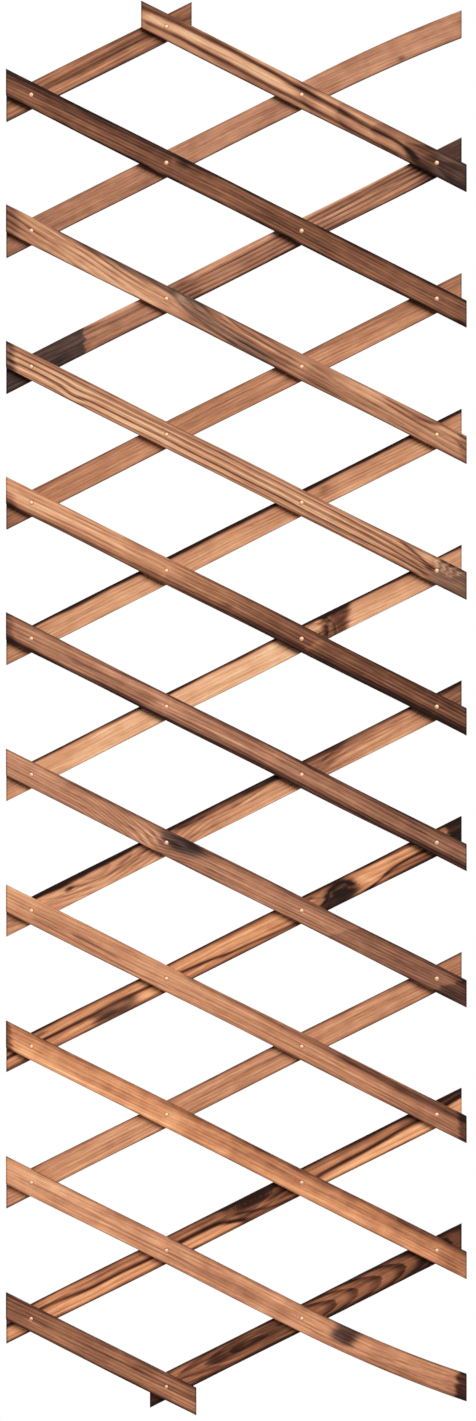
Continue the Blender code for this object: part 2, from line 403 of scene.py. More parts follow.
def screen_colour(levels):
    """A colour as light, from the 0 to 255 levels that a screen shows."""
    shares = np.array(levels) / 255
    light = np.where(shares <= 0.04045, shares / 12.92, ((shares + 0.055) / 1.055) ** 2.4)
    return (*light.tolist(), 1.0)


class Finish:
    """The nodes of a material or the surround: each call adds one, sets its values and joins its inputs."""

    def __init__(self, owner, shader="Principled BSDF"):
        owner.use_nodes = True
        self.owner = owner
        self.tree = owner.node_tree
        self.shader = self.tree.nodes[shader]

    def put(self, kind, *inputs, **settings):
        node = self.tree.nodes.new(kind)
        for setting, value in settings.items():
            setattr(node, setting, value)
        for socket, value in zip(node.inputs, inputs):
            self.set(socket, value)
        return node

    def set(self, socket, value):
        if isinstance(value, bpy.types.NodeSocket):
            self.tree.links.new(value, socket)
        elif value is not None:
            socket.default_value = value

    def calc(self, operation, a, b, c=None):
        return self.put("ShaderNodeMath", a, b, c, operation=operation).outputs[0]

    def read(self, attribute, output="Fac"):
        return self.put("ShaderNodeAttribute", attribute_name=attribute).outputs[output]

    def scaled(self, vector, scale):
        return self.put("ShaderNodeVectorMath", vector, scale, operation="MULTIPLY").outputs[0]

    def noise(self, vector, scale, detail=3.0):
        """Noise with so many cells to the metre along each of the vector's three directions."""
        node = self.put("ShaderNodeTexNoise")
        self.set(node.inputs["Vector"], self.scaled(vector, scale))
        self.set(node.inputs["Scale"], 1.0)
        self.set(node.inputs["Detail"], detail)
        return node.outputs["Fac"]

    def blend(self, factor, first, second):
        """The first colour at a factor of 0, the second at 1, and their straight mix between."""
        node = self.put("ShaderNodeMix", data_type="RGBA")
        colours = [socket for socket in node.inputs if socket.type == "RGBA"]
        for socket, value in zip((node.inputs["Factor"], *colours), (factor, first, second)):
            self.set(socket, value)
        return next(socket for socket in node.outputs if socket.type == "RGBA")

    def ramp(self, factor, stops):
        node = self.put("ShaderNodeValToRGB", factor)
        elements = node.color_ramp.elements
        while len(elements) < len(stops):
            elements.new(0.5)
        for element, (place, colour) in zip(elements, stops):
            element.position = place
            element.color = colour
        return node.outputs["Color"]


# The wood's textures, as cells to the metre along, up and into the lath
WANDER_CELLS = (6, 90, 90)
LINE_CELLS = (9, 75, 75)
FIBRE_CELLS = (16, 420, 300)
FINE_CELLS = (80, 2400, 1600)
PORE_CELLS = (50, 1300, 900)
STAIN_CELLS = (8, 80, 80)
CLOUD_CELLS = (38, 34, 34)


def burnt_wood(name, look):
    """Scorched and brushed softwood. Growth rings, fibres and slow stains darken or lighten the tone, which
    a ramp turns into colour; soot greys it. The late wood stands proud and is a little smoother."""
    wood = Finish(bpy.data.materials.new(name + "_burnt_wood"))
    grain = wood.read("grain", "Vector")
    wander = wood.noise(grain, WANDER_CELLS)
    ring = wood.calc("MULTIPLY_ADD", wander, 0.9, wood.read("ring"))
    share = wood.calc("FRACT", ring, None)
    late = wood.ramp(share, [(0.0, (0, 0, 0, 1)), (0.35, (0.05,) * 3 + (1,)), (0.80, (1, 1, 1, 1)),
                             (0.93, (0.9,) * 3 + (1,)), (1.0, (0, 0, 0, 1))])
    strength = wood.calc("MULTIPLY_ADD", wood.noise(grain, LINE_CELLS), 2.2, -0.1)
    lines = wood.calc("MULTIPLY", wood.calc("MULTIPLY", late, strength), wood.read("figure"))
    fibres = wood.noise(grain, FIBRE_CELLS, 5.0)
    fine = wood.noise(grain, FINE_CELLS)
    pores = wood.ramp(wood.noise(grain, PORE_CELLS), [(0.58, (0, 0, 0, 1)), (0.74, (1, 1, 1, 1))])
    stains = wood.noise(grain, STAIN_CELLS)
    clouds = wood.noise(grain, CLOUD_CELLS, 2.0)
    tone = wood.calc("SUBTRACT", wood.read("tone"), lines)
    tone = wood.calc("MULTIPLY_ADD", pores, -0.10, tone)
    amounts = ((fibres, look.get("fibres", 0.30)), (fine, 0.26),
               (stains, look.get("stains", 0.24)), (clouds, look.get("clouds", 0.14)))
    for texture, amount in amounts:
        tone = wood.calc("MULTIPLY_ADD", wood.calc("SUBTRACT", texture, 0.5), amount, tone)
    warm = wood.ramp(tone, [(place, screen_colour(levels)) for place, levels in WOOD_TONES])
    grey = wood.ramp(tone, [(place, screen_colour(levels)) for place, levels in SOOT_TONES])
    colour = wood.scaled(wood.blend(wood.read("soot"), warm, grey), CASTS[look.get("cast", "plain")])
    wood.set(wood.shader.inputs["Base Color"], colour)
    roughness = wood.calc("MULTIPLY_ADD", late, -0.10, 0.68)
    wood.set(wood.shader.inputs["Roughness"], wood.calc("MULTIPLY_ADD", fibres, 0.10, roughness))
    wood.set(wood.shader.inputs["Specular IOR Level"], 0.06)
    height = wood.calc("MULTIPLY_ADD", fibres, 0.8, wood.calc("MULTIPLY_ADD", fine, 0.35, late))
    bump = wood.put("ShaderNodeBump")
    wood.set(bump.inputs["Height"], height)
    wood.set(bump.inputs["Strength"], 0.6)
    wood.set(bump.inputs["Distance"], 0.00018)
    wood.set(wood.shader.inputs["Normal"], bump.outputs["Normal"])
    return wood.owner


# A board's own cast, as factors on the red, green and blue
CASTS = {
    "plain": (1.0, 1.0, 1.0), "honey": (0.97, 1.015, 1.05),
    "amber": (1.05, 0.98, 0.88), "rosy": (0.97, 1.01, 1.09),
}

# Where the pith of a board runs that is striped evenly, as (column, height, depth behind the face)
PLAIN_PITH = ((0.5, 0.060, 0.030), (2.5, 0.066, 0.034), (4.5, 0.058, 0.028))

# Each lath's look as the photograph shows it, by column and by share of the half width: the tone along it,
# the marks that change it, where figure and soot change, and each knot's place, half sizes and darkening
REAR_LOOKS = {}
REAR_LOOKS[1] = dict(
    tone=((0.9, 0.52), (1.3, 0.53), (1.9, 0.49), (2.1, 0.45), (2.3, 0.42)), figure=0.1, ring_width=0.0046,
    marks=[
        streak(-0.13, 0.24, (0.8, 0.22), (1.2, 0.14), (1.6, 0.16), (2.1, 0.1)),
        streak(-0.12, 0.11, (1.0, -0.02), (1.4, -0.12), (1.7, -0.02), (2.2, -0.1)),
        streak(-0.08, 0.08, (1.45, 0.38), (2.1, 0.34)), streak(0.05, 0.14, (1.1, -0.45), (1.9, -0.42)),
        edge(-0.12, 1, (0.5, 0.14), (2.3, 0.16)), edge(-0.12, -1, (0.5, 0.14), (2.3, 0.14)),
    ],
)
REAR_LOOKS[2] = dict(
    tone=((0.8, 0.44), (1.2, 0.53), (1.8, 0.55), (2.3, 0.57), (3.1, 0.59), (3.3, 0.58), (4.2, 0.57)),
    figure=0.04, ring_width=0.0034, cast="rosy", fibres=0.2, clouds=0.2,
    marks=[
        streak(-0.05, 0.2, (1.1, -0.5), (1.9, -0.6)), streak(-0.05, 0.08, (2.1, 0.1), (2.9, 0.2)),
        blot(-0.2, (3.71, -0.72), 0.025, 0.2), edge(-0.06, 1, (0.5, 0.1), (4.5, 0.08)),
        edge(-0.04, -1, (0.5, 0.12), (4.5, 0.08)),
    ],
)
REAR_LOOKS[3] = dict(
    tone=((0.8, 0.47), (1.9, 0.52), (2.2, 0.56), (3.8, 0.56), (3.95, 0.3), (4.2, 0.24)), cast="rosy",
    figure=0.16, ring_width=0.0048, pith=((0.5, 0.055, 0.03), (2.5, 0.046, 0.03), (4.5, 0.055, 0.03)),
    marks=[
        patch(-0.24, (0.3, 1.39), slant=0.03, soft=0.01),
        edge(-0.14, -1, (1.3, 0.01), (1.4, 0.01), (1.6, 0.12), (1.9, 0.2)),
        edge(0.18, 1, (1.44, 0.01), (1.55, 0.3), (2.2, 0.38), (3.0, 0.3), (3.3, 0.14), (3.9, 0.1)),
        # The patch from column 2.0 to 2.2 is painted shade: a soft dark band beside the front slat that
        # crosses at column 2.
        edge(-0.08, -1, (1.3, 0.1), (3.0, 0.12), (4.0, 0.22)), patch(-0.14, (2.0, 2.2), soft=0.12),
        streak(-0.1, 0.08, (1.45, 0.42), (1.9, 0.38)), streak(0.05, 0.08, (1.45, 0.05), (1.9, 0.0)),
        streak(-0.12, 0.1, (2.2, 0.35), (2.9, 0.45)), streak(-0.08, 0.08, (2.2, -0.05), (2.9, 0.02)),
        streak(-0.14, 0.07, (3.05, 0.62), (3.9, 0.52)), streak(-0.14, 0.07, (3.05, 0.3), (3.9, 0.22)),
        streak(-0.1, 0.07, (3.05, -0.1), (3.9, -0.2)), streak(0.06, 0.12, (3.05, 0.1), (3.9, 0.05)),
    ],
    figured=[
        patch(-0.13, (0.3, 1.39), slant=0.03, soft=0.015), patch(-0.1, (3.93, 4.6)),
        patch(-0.06, (1.39, 2.0)),
    ],
    soot=[patch(0.9, (0.3, 1.39), slant=0.03, soft=0.015), patch(0.5, (3.93, 4.6))],
)
REAR_LOOKS[4] = dict(
    tone=((0.8, 0.47), (1.2, 0.58), (2.0, 0.59), (3.5, 0.595), (4.0, 0.54), (4.2, 0.54)), figure=0.06,
    ring_width=0.0038,
    marks=[
        edge(-0.1, 1, (0.5, 0.12), (4.5, 0.12)), edge(-0.05, 1, (0.5, 0.7), (4.5, 0.7)),
        edge(-0.04, -1, (0.5, 0.08), (4.5, 0.1)), streak(-0.06, 0.1, (1.1, 0.1), (1.9, 0.0)),
        streak(-0.08, 0.08, (2.2, 0.3), (2.9, 0.2)), streak(-0.05, 0.08, (3.1, -0.2), (3.9, -0.1)),
    ],
)
REAR_LOOKS[5] = dict(
    tone=((0.8, 0.52), (1.2, 0.65), (2.2, 0.66), (2.8, 0.63), (3.1, 0.57), (3.3, 0.62), (4.2, 0.63)),
    figure=0.07, ring_width=0.0036,
    marks=[
        between(-0.34, ((0.5, 0.76), (1.6, 0.72), (2.6, 0.64), (3.2, 0.7), (4.5, 0.74)),
                ((0.5, 1.6), (4.5, 1.6)), soft=0.22),
        edge(-0.3, 1, (0.5, 0.24), (4.5, 0.24)), edge(0.06, -1, (0.5, 0.5), (4.5, 0.5)),
        blot(-0.12, (3.17, 0.15), 0.04, 0.5), streak(0.05, 0.15, (1.1, -0.35), (1.9, -0.3)),
        streak(-0.05, 0.07, (1.1, 0.1), (1.9, 0.15)), streak(-0.07, 0.06, (2.2, 0.2), (2.9, 0.3)),
        blot(-0.1, (2.64, 0.2), 0.02, 0.12), streak(-0.06, 0.07, (3.2, 0.0), (3.9, 0.1)),
    ],
)
REAR_LOOKS[6] = dict(
    tone=((0.8, 0.62), (1.2, 0.72), (2.9, 0.77), (3.1, 0.74), (3.4, 0.68), (4.2, 0.64)), figure=0.05,
    ring_width=0.004, clouds=0.16, char=0.02,
    marks=[
        between(-0.26, ((0.5, 0.76), (4.5, 0.78)), ((0.5, 1.6), (4.5, 1.6)), soft=0.22),
        edge(-0.3, 1, (0.5, 0.22), (4.5, 0.22)), edge(0.04, -1, (0.5, 0.5), (4.5, 0.5)),
        edge(-0.3, 1, (3.0, 0.02), (3.15, 0.25), (3.3, 0.4), (3.4, 0.02)),
        patch(-0.36, (3.14, 3.35), slant=0.045, soft=0.06),
        patch(-0.1, (3.17, 3.195), slant=0.02, soft=0.03),
        patch(0.1, (3.205, 3.23), (-0.4, 1.0), slant=0.03, soft=0.03),
        patch(-0.06, (3.28, 3.33), slant=0.05, soft=0.03),
    ],
    knots=[(3.1, -0.25, 0.036, 0.032, 0.0)],
)
REAR_LOOKS[7] = dict(
    tone=((0.8, 0.58), (1.3, 0.63), (1.9, 0.62), (2.2, 0.63), (2.9, 0.64), (3.1, 0.55), (3.35, 0.57),
          (3.55, 0.62), (3.8, 0.66), (4.0, 0.46), (4.3, 0.38)),
    figure=0.1, ring_width=0.0044, clouds=0.18,
    pith=((0.5, 0.016, 0.034), (1.2, 0.01, 0.016), (1.5, 0.006, 0.008), (1.8, 0.01, 0.016),
          (2.3, 0.028, 0.02), (3.0, 0.03, 0.02), (3.6, 0.03, 0.02), (4.5, 0.03, 0.03)),
    marks=[
        between(-0.5,
                ((0.6, 0.75), (1.1, 0.66), (1.2, 0.54), (1.35, 0.54), (1.5, 0.64), (1.9, 0.66), (2.05, 0.8)),
                ((0.6, 1.6), (2.05, 1.6)), soft=0.26),
        edge(-0.4, 1, (0.5, 0.2), (2.0, 0.16), (2.2, 0.34), (2.9, 0.34), (3.1, 0.3), (4.5, 0.26)),
        between(-0.16, ((2.05, 0.35), (2.3, 0.42), (2.5, 0.3), (2.7, 0.45), (2.98, 0.45)),
                ((2.05, 1.6), (2.98, 1.6)), soft=0.3),
        edge(0.08, -1, (0.5, 0.5), (4.5, 0.5)), streak(-0.16, 0.1, (2.08, 0.72), (2.2, 0.45), (2.3, 0.5)),
        streak(-0.14, 0.1, (2.6, 0.7), (2.95, 0.72)),
        streak(-0.14, 0.07, (2.2, 0.3), (2.4, 0.18), (2.52, 0.12), (2.62, 0.22), (2.75, 0.52)),
        blot(-0.12, (2.52, 0.16), 0.03, 0.12),
        streak(0.1, 0.08, (2.5, -0.08), (2.62, 0.08), (2.72, 0.3), (2.85, 0.4)),
        streak(-0.1, 0.07, (2.6, -0.12), (2.75, 0.1), (2.92, 0.14)),
        streak(-0.12, 0.07, (2.08, -0.4), (2.2, -0.48), (2.35, -0.45)),
        streak(0.08, 0.12, (1.08, 0.42), (1.2, 0.2), (1.35, -0.12), (1.5, -0.4)),
        streak(-0.18, 0.07, (1.29, 0.25), (1.36, 0.0), (1.45, -0.14), (1.58, -0.2), (1.68, -0.08),
               (1.78, 0.1), (1.9, 0.13)),
        streak(-0.12, 0.08, (1.64, 0.12), (1.76, 0.36), (1.9, 0.42)),
        streak(-0.1, 0.07, (1.08, -0.05), (1.2, -0.14), (1.32, -0.32), (1.45, -0.52)),
        streak(-0.08, 0.06, (1.6, -0.5), (1.9, -0.42)), blot(-0.24, (1.29, 0.2), 0.03, 0.14),
        between(-0.07, ((3.02, -0.9), (3.15, -0.6), (3.28, 0.1), (3.36, 0.8)), ((3.02, 1.5), (3.36, 1.5)),
                soft=0.4),
        streak(-0.14, 0.08, (3.1, -0.05), (3.2, 0.3), (3.3, 0.7)),
        streak(-0.12, 0.08, (3.3, 0.5), (3.5, 0.52), (3.8, 0.45)),
        streak(-0.1, 0.07, (3.15, -0.25), (3.35, 0.1), (3.6, 0.25), (3.8, 0.2)),
        streak(0.08, 0.1, (3.2, -0.4), (3.5, -0.15), (3.8, 0.0)),
        streak(-0.08, 0.06, (3.2, -0.62), (3.6, -0.42), (3.85, -0.4)),
    ],
    knots=[(1.29, 0.2, 0.006, 0.003, 0.12)],
)
REAR_LOOKS[8] = dict(
    tone=((0.8, 0.6), (1.2, 0.64), (2.9, 0.66), (3.1, 0.54), (3.5, 0.66), (4.0, 0.58), (4.2, 0.4)),
    figure=0.1, cast="amber", ring_width=0.0056,
    pith=((0.5, 0.03, 0.014), (2.5, 0.04, 0.02), (4.5, 0.03, 0.02)), char=0.06,
    marks=[
        edge(-0.46, 1, (0.5, 0.18), (1.9, 0.22), (2.5, 0.26), (3.0, 0.26), (3.2, 0.2), (4.5, 0.2)),
        edge(-0.3, -1, (0.5, 0.24), (4.5, 0.2)),
        streak(-0.44, 0.13, (0.75, -0.02), (1.1, 0.05), (1.4, 0.04), (1.55, 0.1), (1.7, 0.1), (1.8, 0.06),
               (2.0, 0.04)),
        streak(-0.28, 0.1, (0.75, 0.45), (0.95, 0.5), (1.12, 0.62)),
        between(-0.2, ((1.44, -0.8), (1.56, -0.85), (1.76, -0.75)), ((1.44, 0.0), (1.76, 0.0)), soft=0.3),
        blot(-0.22, (1.54, -0.48), 0.07, 0.26, 3), blot(-0.16, (1.64, -0.62), 0.06, 0.2, 3),
        blot(-0.12, (1.73, -0.2), 0.05, 0.2), blot(0.08, (1.84, -0.5), 0.06, 0.2),
        streak(-0.46, 0.13, (2.02, -0.03), (2.2, -0.18), (2.32, -0.3), (2.42, -0.46)),
        streak(-0.34, 0.12, (2.42, -0.46), (2.5, -0.53), (2.7, -0.58), (2.95, -0.74)),
        # Painted shade: a brown darkening just left of the front slat that crosses at column 3.
        streak(-0.12, 0.16, (2.76, -0.2), (2.9, -0.3)),
        streak(-0.46, 0.11, (3.46, -1.0), (3.55, -0.62), (3.62, -0.36), (3.7, -0.21), (3.85, -0.13),
               (4.2, -0.05)),
        between(-0.14, ((3.6, -1.2), (4.05, -1.2)), ((3.6, -0.5), (3.7, -0.25), (4.05, -0.1)), soft=0.2),
        streak(0.1, 0.35, (3.43, 0.6), (3.46, 0.1), (3.52, -0.4)), streak(0.08, 0.2, (3.5, 0.5), (3.9, 0.6)),
        blot(-0.16, (3.285, 0.0), 0.125, 0.95, 6), blot(-0.28, (3.25, -0.52), 0.135, 0.52, 4),
        blot(-0.26, (3.285, -0.1), 0.05, 0.34, 4), blot(-0.11, (3.285, 0.28), 0.085, 0.4, 3),
        blot(-0.16, (3.37, -0.2), 0.05, 0.6, 4), blot(-0.16, (3.16, -0.6), 0.04, 0.35, 3),
        streak(-0.28, 0.17, (3.14, -0.6), (3.18, 0.05), (3.23, 0.5), (3.285, 0.72), (3.34, 0.62),
               (3.39, 0.2), (3.41, -0.4)),
        streak(-0.2, 0.1, (3.05, 0.7), (3.12, 0.5), (3.16, 0.1)),
        streak(-0.14, 0.08, (3.44, 0.8), (3.6, 0.8), (3.9, 0.7)), patch(-0.34, (4.1, 4.6)),
    ],
    figured=[patch(-0.1, (3.16, 3.42))],
    soot=[
        between(0.4, ((1.46, -0.9), (1.76, -0.8)), ((1.46, 0.0), (1.76, 0.0)), soft=0.3),
        blot(0.6, (3.27, -0.2), 0.13, 0.9, 4), patch(0.5, (4.1, 4.6)),
    ],
    knots=[(3.285, 0.05, 0.022, 0.0125, 0.04)],
)
REAR_LOOKS[9] = dict(
    tone=((0.8, 0.56), (1.2, 0.63), (1.9, 0.63), (2.1, 0.61), (3.0, 0.57), (3.5, 0.59), (4.2, 0.55)),
    figure=0.06, ring_width=0.0038,
    marks=[
        edge(-0.2, 1, (0.5, 0.14), (4.5, 0.16)), edge(-0.2, -1, (0.5, 0.12), (4.5, 0.14)),
        streak(-0.1, 0.09, (2.1, 0.05), (2.6, 0.12), (3.0, 0.1)),
        streak(-0.06, 0.08, (1.1, 0.1), (1.9, 0.0)), streak(-0.07, 0.08, (3.1, -0.1), (3.9, 0.0)),
        streak(0.05, 0.12, (2.1, 0.5), (3.9, 0.45)),
    ],
)
REAR_LOOKS[10] = dict(
    tone=((0.8, 0.5), (1.2, 0.55), (2.0, 0.53), (2.4, 0.5), (2.6, 0.46), (3.0, 0.54), (4.2, 0.54)),
    figure=0.1, cast="amber", ring_width=0.006, char=0.06,
    pith=((0.5, 0.03, 0.02), (2.5, 0.034, 0.02), (4.5, 0.03, 0.02)),
    marks=[
        streak(0.04, 0.2, (0.8, 0.5), (1.5, 0.5), (2.3, 0.42)),
        between(0.14, ((0.8, -0.75), (1.9, -0.75)), ((0.8, 0.15), (1.1, 0.12), (1.4, -0.08), (1.9, -0.2))),
        between(0.18, ((2.0, -0.8), (2.6, -0.8)), ((2.0, -0.15), (2.38, -0.08), (2.5, -0.6), (2.6, -1.0))),
        between(-0.08, ((2.0, 0.1), (2.5, 0.1)), ((2.0, 1.5), (2.5, 1.5))),
        patch(-0.1, (3.75, 4.6), (0.2, 1.5), soft=0.2),
        between(0.2, ((2.98, -0.9), (3.1, -0.85), (4.3, -0.8)),
                ((2.98, -0.55), (3.3, -0.3), (3.8, -0.05), (4.3, 0.2))),
        streak(-0.36, 0.16, (0.7, 0.3), (1.1, 0.29), (1.2, 0.23), (1.4, 0.1), (1.6, 0.05), (1.9, -0.03),
               (2.0, 0.02), (2.36, 0.08), (2.43, -0.08), (2.49, -0.4), (2.56, -0.75)),
        streak(-0.4, 0.15, (3.0, -0.3), (3.3, -0.08), (3.7, 0.1), (3.95, 0.25), (4.3, 0.5)),
        between(-0.2, ((2.44, 0.7), (2.52, 0.2), (2.68, 0.2), (2.78, -0.3), (2.95, -0.3)),
                ((2.44, 1.5), (2.95, 1.5)), soft=0.6),
        edge(-0.3, 1, (2.44, 0.02), (2.55, 0.36), (2.85, 0.5), (2.98, 0.3)),
        between(-0.1, ((2.5, -1.2), (2.95, -1.2)), ((2.5, 0.4), (2.95, 0.3)), soft=0.4),
        streak(-0.16, 0.12, (2.52, 0.1), (2.62, -0.3), (2.75, -0.75), (2.95, -0.9)),
        streak(0.14, 0.08, (2.66, -0.35), (2.76, 0.1), (2.86, 0.2)),
        streak(0.1, 0.07, (2.74, -0.6), (2.84, -0.2), (2.92, -0.1)),
        edge(-0.22, 1, (0.5, 0.16), (2.2, 0.16), (3.4, 0.14), (3.8, 0.25), (4.0, 0.5), (4.5, 0.6)),
        edge(-0.18, -1, (0.5, 0.18), (2.0, 0.16), (4.5, 0.08)), streak(-0.12, 0.06, (0.9, 0.62), (1.9, 0.6)),
    ],
    knots=[(2.66, 0.5, 0.024, 0.006, 0.08)],
)
REAR_LOOKS[11] = dict(
    tone=((1.7, 0.14), (1.92, 0.18), (2.0, 0.4), (2.3, 0.36), (3.0, 0.34), (3.1, 0.37), (3.7, 0.38),
          (3.95, 0.3), (4.2, 0.34)),
    figure=0.11, ring_width=0.004, cast="amber",
    pith=((1.5, 0.008, 0.03), (2.3, 0.003, 0.014), (2.55, 0.002, 0.008), (3.0, 0.0, 0.012),
          (4.2, -0.001, 0.04)),
    marks=[
        edge(-0.2, 1, (1.5, 0.2), (2.1, 0.14), (4.5, 0.24)), edge(-0.3, -1, (1.5, 0.28), (4.5, 0.28)),
        patch(-0.08, (3.86, 4.6), (-0.4, 1.5), soft=0.08), blot(0.06, (3.0, 0.2), 0.1, 0.6),
        blot(0.1, (2.1, 0.3), 0.14, 0.6),
        streak(-0.13, 0.26, (2.34, 0.2), (2.42, 0.15), (2.56, 0.05), (2.75, 0.0), (2.9, 0.0)),
        blot(-0.08, (2.46, 0.02), 0.12, 0.4, 4), streak(-0.12, 0.12, (2.1, 0.4), (2.5, 0.5), (2.95, 0.3)),
        streak(-0.14, 0.1, (2.02, 0.1), (2.2, -0.2), (2.4, -0.45)),
        streak(0.1, 0.08, (2.35, -0.35), (2.6, -0.55), (2.95, -0.7)),
        streak(0.06, 0.06, (2.6, 0.3), (2.9, 0.2)), streak(0.06, 0.14, (3.05, -0.1), (3.9, 0.0)),
    ],
    figured=[patch(0.09, (3.05, 4.4))],
)


def rivet_stations(layer, row):
    """The stations of a slat's rivets, from where it meets the second column: one at each crossing."""
    side = 1 if layer == "front" else -1
    return [(c - 2) * RIVET_SPACING for c in range(1, 5) if 1 <= row + side * (c - 2) <= len(REAR_LOOKS)]


for row, look in REAR_LOOKS.items():
    grained(f"rear_slat_{row:02d}", "rear", look, rivet_stations("rear", row))


# Front slats
# Eleven laths of the same wood that fall to the right, laid over the others. They were scorched unevenly, so
# that some are pale with a few brown lines and others are dark from edge to edge.
FRONT_LOOKS = {}
FRONT_LOOKS[1] = dict(
    tone=((1.7, 0.6), (2.2, 0.61), (2.9, 0.62), (3.6, 0.6), (3.8, 0.5), (3.95, 0.34), (4.2, 0.26)),
    cast="honey", figure=0.1, ring_width=0.006,
    pith=((1.5, 0.006, 0.06), (3.0, 0.004, 0.05), (4.3, 0.0, 0.02)),
    marks=[
        between(0.13, ((1.85, -0.15), (2.2, -0.15), (2.6, -0.3), (3.0, -0.4)),
                ((1.85, 0.5), (2.1, 0.55), (2.5, 0.48), (3.0, 0.3)), soft=0.25),
        blot(0.1, (2.12, 0.2), 0.14, 0.3), edge(-0.12, 1, (1.7, 0.5), (2.05, 0.4), (2.2, 0.02)),
        streak(-0.32, 0.19, (1.7, 0.56), (1.95, 0.64), (2.12, 0.68), (2.3, 0.69)),
        streak(-0.4, 0.19, (2.3, 0.69), (2.6, 0.59), (2.9, 0.46), (3.0, 0.46), (3.1, 0.42), (3.3, 0.29),
               (3.5, 0.19)),
        streak(-0.42, 0.18, (3.5, 0.19), (3.65, 0.14), (3.72, 0.05), (3.8, -0.2), (3.87, -0.45)),
        streak(-0.32, 0.16, (1.85, -0.4), (2.1, -0.32), (2.3, -0.36), (2.45, -0.46), (2.6, -0.52),
               (3.0, -0.56), (3.2, -0.6), (3.5, -0.72), (3.75, -0.82)),
        streak(-0.1, 0.05, (2.2, 0.0), (2.6, 0.0), (3.0, -0.1)),
        streak(0.1, 0.12, (2.3, 0.95), (2.8, 0.82), (3.1, 0.7), (3.3, 0.62), (3.5, 0.55)),
        streak(0.08, 0.1, (3.0, 0.05), (3.3, -0.1), (3.6, -0.3)),
        streak(-0.08, 0.05, (2.3, -0.75), (3.0, -0.85)),
        edge(-0.08, 1, (3.3, 0.02), (3.6, 0.5), (3.9, 0.7), (4.0, 0.2)),
        between(-0.1, ((3.76, -1.5), (4.0, -1.5)), ((3.76, -0.9), (3.82, -0.55), (3.9, -0.1), (4.0, 0.9)),
                soft=0.4),
        edge(-0.1, -1, (1.7, 0.1), (3.7, 0.12), (3.9, 0.4), (4.3, 0.3)),
        edge(-0.06, 1, (1.7, 0.14), (4.3, 0.16)),
    ],
    soot=[patch(0.6, (3.97, 4.6), slant=-0.03, soft=0.1)],
)
FRONT_LOOKS[2] = dict(
    tone=((0.75, 0.37), (1.5, 0.375), (2.1, 0.38), (2.4, 0.41), (3.2, 0.385), (4.2, 0.39)), figure=0.1,
    ring_width=0.0036, fibres=0.3, char=0.16,
    marks=[
        edge(-0.2, 1, (0.5, 0.54), (1.9, 0.52), (2.15, 0.44), (2.4, 0.22), (4.5, 0.24)),
        edge(-0.12, -1, (0.5, 0.16), (4.5, 0.14)), streak(0.05, 0.14, (0.9, -0.15), (1.9, -0.1)),
        streak(-0.06, 0.06, (0.9, 0.12), (2.8, 0.15)), streak(-0.06, 0.06, (1.2, -0.4), (3.2, -0.35)),
        blot(0.1, (2.03, 0.45), 0.02, 0.25), blot(-0.12, (2.1, 0.6), 0.04, 0.4),
        blot(-0.3, (4.22, -0.9), 0.05, 0.3),
    ],
    soot=[edge(0.4, 1, (0.5, 0.4), (2.0, 0.35), (2.3, 0.12), (4.5, 0.1))],
)
